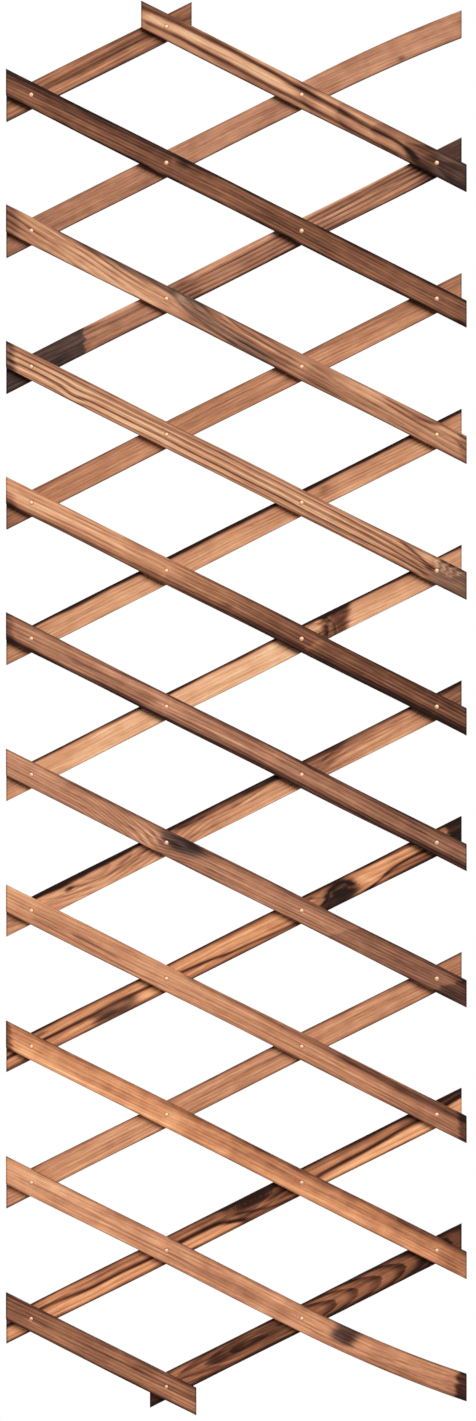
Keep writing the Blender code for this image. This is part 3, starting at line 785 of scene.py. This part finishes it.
FRONT_LOOKS[3] = dict(
    tone=((0.8, 0.54), (1.05, 0.66), (1.5, 0.71), (2.0, 0.69), (2.2, 0.53), (2.7, 0.53), (3.0, 0.58),
          (3.5, 0.64), (4.2, 0.6)),
    figure=0.12, ring_width=0.0064, cast="honey",
    pith=((0.5, 0.11, 0.02), (1.2, 0.094, 0.02), (1.9, 0.074, 0.02), (2.5, 0.064, 0.02), (3.0, 0.06, 0.02),
          (3.5, 0.056, 0.02), (4.0, 0.052, 0.014), (4.4, 0.048, 0.012)),
    marks=[
        streak(-0.16, 0.1, (0.8, 0.5), (1.0, 0.15), (1.2, -0.1)),
        streak(-0.12, 0.08, (0.8, -0.1), (1.1, -0.5)),
        between(-0.24, ((1.1, 1.05), (1.2, 0.85), (1.35, 0.72), (1.55, 0.6), (1.75, 0.54), (2.05, 0.42)),
                ((1.1, 1.6), (2.05, 1.6)), soft=0.34),
        edge(-0.1, 1, (1.1, 0.04), (1.35, 0.2), (1.95, 0.3), (2.15, 0.2), (2.6, 0.18), (2.9, 0.1),
             (4.5, 0.06)),
        streak(-0.18, 0.08, (1.05, 0.7), (1.4, 0.25), (1.8, -0.2), (2.05, -0.5)),
        streak(-0.15, 0.06, (1.05, 0.3), (1.4, -0.15), (1.7, -0.5)),
        streak(-0.2, 0.08, (1.3, 0.75), (1.7, 0.3), (2.05, -0.1)),
        between(-0.05,
                ((2.0, 0.35), (2.1, 0.0), (2.2, -0.25), (2.3, -0.5), (2.42, -0.8), (2.6, -1.0), (2.9, -1.0)),
                ((2.0, 1.4), (2.2, 1.2), (2.28, 0.8), (2.36, 0.3), (2.5, 0.0), (2.7, -0.2), (2.9, -0.35)),
                soft=0.3),
        streak(-0.12, 0.1, (2.02, 0.45), (2.14, 0.0), (2.28, -0.4), (2.42, -0.66), (2.55, -0.8)),
        streak(-0.1, 0.08, (2.08, 0.95), (2.2, 0.4), (2.36, -0.05), (2.55, -0.35), (2.75, -0.5)),
        streak(-0.1, 0.07, (2.2, 0.95), (2.32, 0.45), (2.5, 0.02), (2.8, -0.22), (3.0, -0.26)),
        streak(0.15, 0.09, (2.36, 1.0), (2.44, 0.6), (2.56, 0.3), (2.8, 0.1)),
        streak(-0.14, 0.06, (2.42, 1.0), (2.5, 0.62), (2.7, 0.36), (2.95, 0.25)),
        streak(0.06, 0.06, (2.55, 0.8), (2.75, 0.5), (2.95, 0.4)),
        streak(-0.1, 0.06, (2.6, 0.85), (2.9, 0.6), (3.2, 0.45)),
        edge(-0.08, -1, (0.5, 0.08), (2.1, 0.08), (2.4, 0.2), (2.9, 0.2), (3.2, 0.2), (3.6, 0.24),
             (4.5, 0.24)),
        streak(-0.12, 0.08, (3.05, 0.5), (3.3, 0.15), (3.6, -0.1)),
        streak(-0.08, 0.07, (3.05, 0.1), (3.4, -0.3), (3.8, -0.45)), blot(0.11, (3.42, 0.5), 0.2, 0.4),
        streak(-0.14, 0.1, (3.6, 0.72), (3.72, 0.62), (3.8, 0.57)),
        streak(-0.26, 0.15, (3.8, 0.57), (3.88, 0.6), (3.98, 0.85)),
        between(-0.08, ((3.02, -0.9), (3.9, -0.9)), ((3.02, 0.2), (3.3, 0.0), (3.9, -0.3)), soft=0.3),
        streak(-0.12, 0.07, (3.6, 0.4), (3.85, 0.2), (4.1, 0.25)),
        streak(0.1, 0.14, (3.95, 0.55), (4.15, 0.6)),
        streak(-0.2, 0.08, (4.12, 0.35), (4.16, 0.15), (4.22, 0.0)),
        streak(-0.18, 0.08, (4.1, 0.9), (4.2, 0.6)), patch(-0.1, (4.17, 4.6), slant=-0.05),
        patch(-0.12, (0.3, 0.9), slant=-0.03, soft=0.08),
    ],
    soot=[
        between(0.45, ((2.0, 0.35), (2.1, 0.0), (2.3, -0.5), (2.42, -0.8), (2.8, -1.0)),
                ((2.0, 1.4), (2.2, 1.2), (2.36, 0.3), (2.5, 0.0), (2.8, -0.3)), soft=0.4),
        edge(0.5, 1, (1.3, 0.04), (1.6, 0.46), (2.1, 0.5), (2.3, 0.04)),
    ],
)
FRONT_LOOKS[4] = dict(
    tone=((0.8, 0.8), (1.8, 0.84), (2.3, 0.82), (3.0, 0.8), (3.5, 0.76), (3.92, 0.7), (4.0, 0.42),
          (4.2, 0.38)),
    figure=0.14, ring_width=0.0031, fibres=0.24, cast="honey",
    pith=((0.5, 0.072, 0.02), (2.0, 0.074, 0.02), (3.0, 0.073, 0.02), (4.0, 0.07, 0.02), (4.4, 0.066, 0.02)),
    marks=[
        edge(-0.18, 1, (0.5, 0.26), (2.5, 0.24), (4.5, 0.18)), edge(-0.1, -1, (0.5, 0.08), (4.5, 0.14)),
        patch(-0.3, (0.3, 0.872), slant=-0.048, soft=0.06),
        edge(-0.1, 1, (0.5, 0.5), (2.4, 0.4), (2.9, 0.2)),
        streak(-0.32, 0.12, (0.82, 0.6), (2.0, 0.58), (2.4, 0.62), (2.9, 0.58), (3.3, 0.5), (3.5, 0.46),
               (3.7, 0.34), (3.8, 0.25), (3.9, 0.06), (3.97, -0.2)),
        streak(-0.38, 0.11, (0.82, 0.18), (1.25, 0.17), (1.34, 0.02), (1.43, 0.17), (2.0, 0.2), (2.4, 0.2),
               (2.9, 0.12), (3.3, 0.02), (3.5, 0.04), (3.7, -0.1), (3.85, -0.22), (3.92, -0.3)),
        streak(-0.42, 0.12, (0.82, -0.34), (0.95, -0.25), (1.25, -0.3), (1.34, -0.62), (1.43, -0.3),
               (2.0, -0.32), (2.4, -0.34), (2.9, -0.4), (3.3, -0.52), (3.5, -0.5), (3.7, -0.46),
               (3.85, -0.5), (3.97, -0.62)),
        streak(-0.32, 0.12, (0.82, -0.78), (1.25, -0.8), (1.34, -1.1), (1.43, -0.8), (2.4, -0.8),
               (3.3, -0.86), (3.9, -0.9)),
        streak(-0.1, 0.05, (1.45, -0.06), (2.9, -0.12), (3.5, -0.24), (3.8, -0.35)),
        streak(-0.1, 0.05, (1.3, 0.42), (2.5, 0.42), (3.3, 0.28), (3.7, 0.12), (3.9, -0.1)),
        streak(-0.12, 0.06, (2.6, -0.58), (3.3, -0.68), (3.8, -0.68)),
        streak(-0.34, 0.11, (3.7, 0.8), (3.84, 0.5), (3.97, 0.0)), blot(-0.04, (3.97, -0.35), 0.05, 0.5),
        blot(0.14, (3.93, 0.75), 0.06, 0.25), patch(0.2, (3.985, 4.005), (0.2, 1.1), soft=0.02, slant=-0.02),
        patch(0.24, (4.016, 4.036), (0.1, 1.1), soft=0.02, slant=0.02),
        patch(0.22, (4.042, 4.062), (0.0, 1.1), soft=0.02, slant=0.06),
        patch(0.18, (4.068, 4.088), (-0.1, 1.0), soft=0.02, slant=0.11),
        streak(0.08, 0.07, (4.04, -0.5), (4.2, -0.3)),
    ],
    figured=[patch(-0.1, (0.3, 0.9)), patch(-0.08, (3.95, 4.6), soft=0.1)],
    soot=[patch(0.4, (0.3, 0.872), slant=-0.048, soft=0.06), patch(0.45, (3.98, 4.6), soft=0.05)],
)
FRONT_LOOKS[5] = dict(
    tone=((0.8, 0.73), (1.5, 0.69), (2.05, 0.64), (2.2, 0.56), (2.6, 0.46), (2.9, 0.4), (3.2, 0.35),
          (4.2, 0.34)),
    figure=0.12, ring_width=0.004,
    marks=[
        streak(-0.2, 0.24, (0.5, -0.84), (1.2, -0.78), (1.6, -0.72), (2.2, -0.66), (3.0, -0.68),
               (4.5, -0.68)),
        edge(-0.22, -1, (0.5, 0.2), (4.5, 0.2)),
        edge(-0.12, 1, (0.5, 0.1), (2.3, 0.14), (2.7, 0.22), (4.5, 0.2)),
        patch(-0.2, (0.3, 0.875), (-1.5, 0.0), slant=-0.048, soft=0.07),
        patch(0.05, (1.99, 2.01), (-0.9, 0.9)), streak(0.08, 0.1, (0.9, 0.1), (1.7, 0.12)),
        streak(-0.1, 0.06, (0.9, 0.35), (2.0, 0.32)), streak(-0.12, 0.07, (1.1, -0.25), (2.2, -0.2)),
        streak(-0.08, 0.05, (1.3, 0.65), (2.2, 0.6)), blot(-0.14, (2.47, -0.3), 0.035, 0.25),
        streak(-0.08, 0.07, (2.1, 0.2), (2.9, 0.1)), streak(0.07, 0.05, (3.3, 0.3), (4.2, 0.25)),
        streak(0.05, 0.05, (2.7, -0.1), (4.2, -0.15)),
        patch(0.13, (3.085, 3.11), (-0.75, 0.6), slant=0.04, soft=0.04),
        patch(0.05, (3.99, 4.01), (-0.9, 0.9)),
    ],
)
FRONT_LOOKS[6] = dict(
    tone=((0.8, 0.57), (1.3, 0.58), (2.0, 0.57), (2.6, 0.54), (3.3, 0.52), (3.6, 0.47), (4.2, 0.43)),
    figure=0.12, cast="rosy", ring_width=0.0042,
    marks=[
        edge(-0.22, 1, (0.5, 0.24), (4.5, 0.24)), edge(-0.24, -1, (0.5, 0.2), (4.5, 0.2)),
        streak(-0.24, 0.2, (0.5, -0.82), (1.5, -0.8), (2.5, -0.76), (3.3, -0.7), (4.5, -0.64)),
        patch(-0.14, (0.3, 0.86), slant=-0.048, soft=0.05), patch(0.05, (1.99, 2.01), (-0.9, 0.9)),
        streak(-0.14, 0.18, (1.3, -0.05), (1.5, 0.0), (1.95, 0.05)),
        streak(-0.08, 0.08, (1.0, -0.35), (1.9, -0.4)), streak(0.05, 0.1, (1.0, 0.45), (1.9, 0.5)),
        streak(0.07, 0.1, (1.9, 0.05), (2.6, -0.08), (3.4, -0.05)),
        streak(-0.08, 0.07, (2.1, 0.3), (3.9, 0.25)), streak(-0.07, 0.06, (2.1, -0.35), (3.9, -0.4)),
        streak(-0.06, 0.05, (2.2, 0.6), (4.1, 0.6)),
    ],
)
FRONT_LOOKS[7] = dict(
    tone=((0.8, 0.62), (1.1, 0.57), (1.9, 0.57), (2.3, 0.55), (3.25, 0.55), (4.0, 0.53), (4.2, 0.5)),
    cast="rosy", figure=0.09, ring_width=0.0036,
    pith=((0.5, 0.075, 0.02), (1.4, 0.072, 0.02), (1.7, 0.06, 0.016), (1.9, 0.05, 0.014), (2.2, 0.06, 0.02),
          (4.5, 0.07, 0.02)),
    marks=[
        blot(0.06, (1.84, -0.3), 0.13, 0.6),
        streak(0.15, 0.08, (1.76, 0.34), (1.84, 0.22), (1.91, -0.08), (1.97, -0.6)),
        streak(0.14, 0.08, (1.75, 0.02), (1.82, -0.12), (1.88, -0.45), (1.92, -0.9)),
        streak(0.12, 0.08, (1.72, -0.3), (1.78, -0.45), (1.83, -0.8)),
        streak(0.13, 0.08, (1.8, 0.62), (1.88, 0.48), (1.95, 0.15), (1.99, -0.2)),
        streak(-0.12, 0.06, (1.78, 0.5), (1.86, 0.36), (1.93, 0.05), (1.98, -0.4)),
        streak(-0.12, 0.06, (1.74, 0.2), (1.82, 0.06), (1.89, -0.25), (1.94, -0.75)),
        streak(-0.12, 0.06, (1.72, -0.12), (1.79, -0.28), (1.85, -0.62), (1.88, -0.9)),
        blot(-0.2, (2.11, 0.38), 0.14, 0.64, 5), blot(-0.1, (1.97, 0.4), 0.03, 0.6),
        blot(-0.14, (2.2, 0.62), 0.09, 0.34, 3),
        edge(-0.2, 1, (0.5, 0.08), (1.15, 0.12), (1.35, 0.34), (1.8, 0.3), (2.2, 0.34), (4.5, 0.26)),
        blot(-0.2, (2.05, -0.05), 0.08, 0.5), edge(-0.12, -1, (0.5, 0.08), (4.5, 0.1)),
        streak(-0.06, 0.06, (0.9, 0.2), (1.6, 0.15)), streak(-0.06, 0.06, (0.9, -0.35), (1.5, -0.4)),
        streak(-0.07, 0.06, (2.3, 0.1), (3.2, 0.0)), streak(-0.07, 0.06, (2.3, -0.4), (3.2, -0.45)),
        streak(0.05, 0.1, (2.3, -0.15), (3.2, -0.2)), patch(-0.1, (3.31, 4.6), slant=0.09, soft=0.012),
        patch(-0.15, (4.09, 4.6), slant=0.08, soft=0.015),
    ],
    soot=[blot(0.9, (2.1, 0.42), 0.15, 0.66, 4), patch(0.15, (4.09, 4.6), slant=0.08, soft=0.015)],
)
FRONT_LOOKS[8] = dict(
    tone=((0.8, 0.66), (1.1, 0.61), (2.0, 0.63), (2.6, 0.6), (3.1, 0.56), (3.4, 0.57), (3.7, 0.51),
          (4.1, 0.47)),
    figure=0.08, ring_width=0.0038,
    marks=[
        edge(0.08, 1, (0.5, 0.3), (1.1, 0.2), (1.4, 0.01), (4.5, 0.01)),
        streak(-0.14, 0.2, (2.1, 0.95), (2.3, 0.78), (2.8, 0.72), (3.25, 0.68)),
        streak(-0.24, 0.26, (3.25, 0.68), (3.6, 0.64), (4.0, 0.6), (4.5, 0.58)),
        edge(-0.08, 1, (1.2, 0.04), (1.9, 0.14), (2.3, 0.24), (4.5, 0.24)),
        edge(-0.1, -1, (0.5, 0.08), (4.5, 0.12)),
        streak(-0.16, 0.07, (1.05, -0.55), (1.5, -0.66), (2.05, -0.6)),
        streak(-0.16, 0.1, (1.32, -0.2), (1.5, -0.27), (1.66, -0.26)),
        streak(-0.12, 0.05, (1.1, -0.38), (1.4, -0.42)), streak(-0.08, 0.06, (0.9, -0.15), (2.0, -0.1)),
        streak(-0.07, 0.07, (2.1, 0.1), (3.0, 0.15)), streak(-0.07, 0.06, (2.1, -0.35), (3.9, -0.3)),
        streak(0.05, 0.1, (3.1, -0.1), (4.0, -0.1)), patch(-0.22, (4.17, 4.6), slant=-0.048, soft=0.04),
    ],
)
FRONT_LOOKS[9] = dict(
    tone=((0.8, 0.61), (1.1, 0.64), (2.0, 0.63), (2.6, 0.57), (3.0, 0.54), (3.4, 0.57), (4.2, 0.52)),
    figure=0.06, cast="amber", ring_width=0.0038, clouds=0.3, stains=0.3,
    marks=[
        patch(-0.26, (0.3, 0.85), slant=-0.048, soft=0.04),
        edge(-0.2, 1, (0.5, 0.22), (2.0, 0.26), (3.0, 0.4), (4.5, 0.44)),
        edge(-0.08, -1, (0.5, 0.1), (4.5, 0.1)), streak(-0.07, 0.08, (0.9, 0.15), (1.9, 0.1)),
        streak(-0.07, 0.08, (2.1, 0.1), (3.9, 0.0)), streak(0.08, 0.22, (0.9, -0.65), (4.1, -0.65)),
    ],
)
FRONT_LOOKS[10] = dict(
    tone=((0.8, 0.66), (1.1, 0.65), (2.0, 0.615), (2.4, 0.58), (3.2, 0.59), (3.5, 0.56), (4.3, 0.54)),
    figure=0.06, ring_width=0.0038, clouds=0.22, stains=0.26,
    marks=[
        edge(-0.14, 1, (0.5, 0.14), (1.6, 0.16), (4.5, 0.14)), edge(-0.05, -1, (0.5, 0.1), (4.5, 0.1)),
        streak(-0.1, 0.13, (0.9, -0.04), (1.6, -0.06), (2.5, -0.14), (3.2, -0.16)),
        streak(-0.06, 0.06, (1.0, -0.4), (3.2, -0.45)),
        between(-0.2, ((3.22, -0.3), (3.3, -0.5), (3.39, -0.2)), ((3.22, 1.4), (3.39, 1.4)), soft=0.5),
        blot(-0.14, (3.32, 0.25), 0.06, 0.6, 3), blot(-0.14, (3.25, 0.3), 0.035, 0.6),
        streak(-0.1, 0.06, (3.45, -0.2), (3.8, 0.2), (4.2, 0.5)),
        streak(-0.08, 0.05, (3.45, -0.6), (4.1, -0.1)), patch(-0.34, (4.148, 4.8), slant=-0.03, soft=0.04),
        edge(-0.14, -1, (3.0, 0.02), (3.3, 0.3), (4.0, 0.4), (4.5, 0.4)),
    ],
    soot=[between(0.6, ((3.22, -0.3), (3.39, -0.3)), ((3.22, 1.4), (3.39, 1.4)), soft=0.5)],
)
FRONT_LOOKS[11] = dict(
    tone=((0.75, 0.42), (1.1, 0.42), (2.3, 0.42)), figure=0.09, ring_width=0.004, char=0.06,
    marks=[
        edge(-0.12, 1, (0.5, 0.3), (2.5, 0.2)), edge(0.08, -1, (0.5, 0.5), (2.5, 0.4)),
        edge(-0.28, -1, (0.5, 0.22), (2.5, 0.22)), patch(-0.04, (0.3, 1.0), soft=0.3),
        streak(-0.09, 0.12, (1.0, 0.15), (2.3, 0.12)), streak(0.05, 0.08, (1.0, -0.2), (2.3, -0.2)),
        blot(-0.06, (1.76, 0.2), 0.05, 0.3),
    ],
)

for row, look in FRONT_LOOKS.items():
    grained(f"front_slat_{row:02d}", "front", look, rivet_stations("front", row))


# Rivets
# Forty small semi-tubular rivets of light metal, one at each crossing. The domed head is pressed a little
# into the front slat, the shank passes through both, and the hollow tail is rolled over behind the rear one.
HEAD_RADIUS = 0.0029
HEAD_HEIGHT = 0.0013
RIM_RADIUS = 0.0002
DOME_SWEEP = 0.46 * math.pi
SHANK_RADIUS = 0.0016
TAIL_RADIUS = 0.0026
TAIL_HEIGHT = 0.0010
BORE_RADIUS = 0.0010
BORE_DEPTH = 0.0030
BORE_STRAIGHT_SHARE = 0.85
BORE_TIP_SHARE = 0.97
BORE_TIP_RADIUS_SHARE = 0.6
RIVET_SEGMENTS = 32


def rivet_profile(top, bottom, front_seat, rear_seat):
    """The rivet's outline as radius and depth, from the middle of its head to the bottom of its bore.

    The head is a flattened quarter ellipse with a rounded rim, the shank a straight line, and the tail three
    quarters of a torus that roll from the shank's side round into the bore, which narrows to a point.
    """
    sweep = np.linspace(0, DOME_SWEEP, 12)
    dome_radius = HEAD_RADIUS * np.sin(sweep)
    dome_depth = front_seat - RIM_RADIUS - (HEAD_HEIGHT - RIM_RADIUS) * np.cos(sweep)
    lip = np.linspace(-0.4, 0.5, 5) * math.pi
    lip_radius = HEAD_RADIUS - RIM_RADIUS + RIM_RADIUS * np.cos(lip)
    lip_depth = front_seat - RIM_RADIUS + RIM_RADIUS * np.sin(lip)
    roll = np.linspace(-0.5, 1.0, 13) * math.pi
    roll_half = (TAIL_RADIUS - BORE_RADIUS) / 2
    roll_radius = BORE_RADIUS + roll_half + roll_half * np.cos(roll)
    roll_depth = rear_seat + TAIL_HEIGHT / 2 + TAIL_HEIGHT / 2 * np.sin(roll)
    shank_radius = np.full(3, SHANK_RADIUS)
    shank_depth = np.array([front_seat, (front_seat + rear_seat) / 2, rear_seat])
    bore_radius = BORE_RADIUS * np.array([1, BORE_TIP_RADIUS_SHARE, 0])
    bore_depth = bottom - BORE_DEPTH * np.array([BORE_STRAIGHT_SHARE, BORE_TIP_SHARE, 1])
    radius = np.concatenate([dome_radius, lip_radius, shank_radius, roll_radius, bore_radius])
    depth = np.concatenate([dome_depth, lip_depth, shank_depth, roll_depth, bore_depth])
    return radius, depth


def rivet_piece(name, body, x, z, depths, node=None):
    """The profile turned about the rivet's axis, and closed at its first and last points, on the axis."""
    radius, depth = rivet_profile(*depths)
    turn = np.arange(RIVET_SEGMENTS) * 2 * math.pi / RIVET_SEGMENTS
    ring_radius, ring_depth = radius[1:-1, None], depth[1:-1, None]
    turned = [x + ring_radius * np.cos(turn), ring_depth + 0 * turn, z + ring_radius * np.sin(turn)]
    rings = np.stack(turned, axis=-1).reshape(-1, 3)
    points = np.vstack([[(x, depth[0], z)], rings, [(x, depth[-1], z)]])
    table = 1 + np.arange(ring_radius.size * RIVET_SEGMENTS).reshape(ring_radius.size, RIVET_SEGMENTS)
    closed = np.hstack([table, table[:, :1]])
    faces = quads(closed, flip=True).tolist()
    faces += [[0, int(b), int(a)] for a, b in zip(closed[0, 1:], closed[0, :-1])]
    faces += [[len(points) - 1, int(a), int(b)] for a, b in zip(closed[-1, 1:], closed[-1, :-1])]
    mesh = bpy.data.meshes.new(name)
    mesh.from_pydata(points.tolist(), [], faces)
    mesh.shade_smooth()
    mesh.set_sharp_from_angle(angle=math.radians(50))
    piece = placed(name, mesh)
    mesh.materials.append(rivet_metal)
    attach(piece, body)
    if node:
        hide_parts(node)


def satin_metal():
    """Dulled light metal: pale, with fine wear and a slightly darker film in patches."""
    metal = Finish(bpy.data.materials.new("rivet_satin_metal"))
    place = metal.put("ShaderNodeTexCoord").outputs["Object"]
    wear = metal.noise(place, (900, 900, 900), 4.0)
    colour = metal.ramp(wear, [(0.3, screen_colour((172, 134, 108))), (0.7, screen_colour((206, 164, 134)))])
    metal.set(metal.shader.inputs["Base Color"], colour)
    metal.set(metal.shader.inputs["Metallic"], 1.0)
    metal.set(metal.shader.inputs["Roughness"], metal.calc("MULTIPLY_ADD", wear, 0.25, 0.45))
    return metal.owner


rivet_metal = satin_metal()
bodies = frame["record"]["behaviour"]["bodies"]
body_of_node = {node: body for body, nodes in bodies.items() for node in nodes}
head_top, tail_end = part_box("rivet_2_06")[0].y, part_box("rivet_2_06")[1].y
rivet_depths = (head_top, tail_end, head_top + HEAD_HEIGHT, tail_end - TAIL_HEIGHT)
for node, body in body_of_node.items():
    if node.startswith("rivet"):
        low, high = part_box(node)
        rivet_piece(node + "_metal", body, (low.x + high.x) / 2, (low.z + high.z) / 2, rivet_depths, node)
lowest = len(FRONT_LOOKS)
for number, station in enumerate(rivet_stations("front", lowest), 1):
    rivet_piece(f"front_slat_11_rivet_{number}", "front_slat_11", station * math.cos(LEAN),
                slat_height(lowest) - station * math.sin(LEAN), rivet_depths)


# Floor, light and camera
# A pale round floor some way below the trellis, which hangs free, a white surround, a soft light from above
# in front and another from above behind, and a camera square to the lattice at the height of its middle.
FLOOR_HEIGHT = -1.2
FLOOR_RADIUS = 1.8
FLOOR_SEGMENTS = 96
FLOOR_RINGS = 12
FLOOR_FADE = (1.25, 2.1)
SURROUND_LIGHT = (0.05, 0.036, 0.026, 1)
LIGHT_SPREAD = math.radians(40)
CAMERA_DISTANCE = 6.0
CAMERA_ACROSS = 0.0909
CAMERA_UP = -0.0047
PICTURE_HEIGHT = 1.808
SENSOR = 36.0

turn = np.linspace(0, 2 * math.pi, FLOOR_SEGMENTS + 1)[:-1]
rings = np.linspace(0, FLOOR_RADIUS, FLOOR_RINGS + 1)[1:, None]
disc = np.stack([rings * np.cos(turn), rings * np.sin(turn), FLOOR_HEIGHT + 0 * rings * turn], axis=-1)
points = np.vstack([[(0, 0, FLOOR_HEIGHT)], disc.reshape(-1, 3)])
table = 1 + np.arange(rings.size * turn.size).reshape(rings.size, turn.size)
closed = np.hstack([table, table[:, :1]])
floor_mesh = bpy.data.meshes.new("floor")
floor_faces = quads(closed).tolist() + [[0, int(a), int(b)] for a, b in zip(closed[0, :-1], closed[0, 1:])]
floor_mesh.from_pydata(points.tolist(), [], floor_faces)
floor = placed("floor", floor_mesh)
pale = Finish(bpy.data.materials.new("pale_floor"))
pale.set(pale.shader.inputs["Base Color"], screen_colour((238, 237, 235)))
pale.set(pale.shader.inputs["Roughness"], 0.9)
clear = pale.put("ShaderNodeBsdfTransparent")
place = pale.put("ShaderNodeTexCoord").outputs["Object"]
reach = pale.put("ShaderNodeVectorMath", place, operation="LENGTH").outputs["Value"]
fade = pale.put("ShaderNodeMapRange", reach, *FLOOR_FADE, 0.0, 1.0)
blend = pale.put("ShaderNodeMixShader", fade.outputs[0], pale.shader.outputs[0], clear.outputs[0])
output = next(node for node in pale.tree.nodes if node.type == "OUTPUT_MATERIAL")
pale.set(output.inputs["Surface"], blend.outputs[0])
floor_mesh.materials.append(pale.owner)

# The camera sees the surround white; what lights the trellis from it is dim and warm
world = bpy.data.worlds.new("studio")
bpy.context.scene.world = world
studio = Finish(world, "Background")
rays = studio.put("ShaderNodeLightPath").outputs
seen = studio.calc("MAXIMUM", rays["Is Camera Ray"], rays["Is Glossy Ray"])
seen = studio.calc("MAXIMUM", seen, rays["Is Transmission Ray"])
studio.set(studio.shader.inputs["Color"], studio.blend(seen, SURROUND_LIGHT, (1, 1, 1, 1)))
studio.set(studio.shader.inputs["Strength"], 1.0)


def soft_light(name, energy, tip, swing):
    """A wide light from far away, tipped from straight down to the front or the back and swung sideways."""
    light = bpy.data.lights.new(name, "SUN")
    light.energy = energy
    light.angle = LIGHT_SPREAD
    placed(name, light).rotation_euler = (math.radians(tip), 0, math.radians(swing))


soft_light("soft_light", energy=3.55, tip=56, swing=15)
soft_light("back_light", energy=2.1, tip=-62, swing=-12)

camera_data = bpy.data.cameras.new("camera")
camera = placed("camera", camera_data)
camera_data.sensor_width = SENSOR
camera_data.lens = SENSOR * CAMERA_DISTANCE / PICTURE_HEIGHT
camera.location = (CAMERA_ACROSS, -CAMERA_DISTANCE, CAMERA_UP)
camera.rotation_euler = (math.pi / 2, 0, 0)
bpy.context.scene.camera = camera
bpy.context.scene.view_settings.view_transform = "Standard"
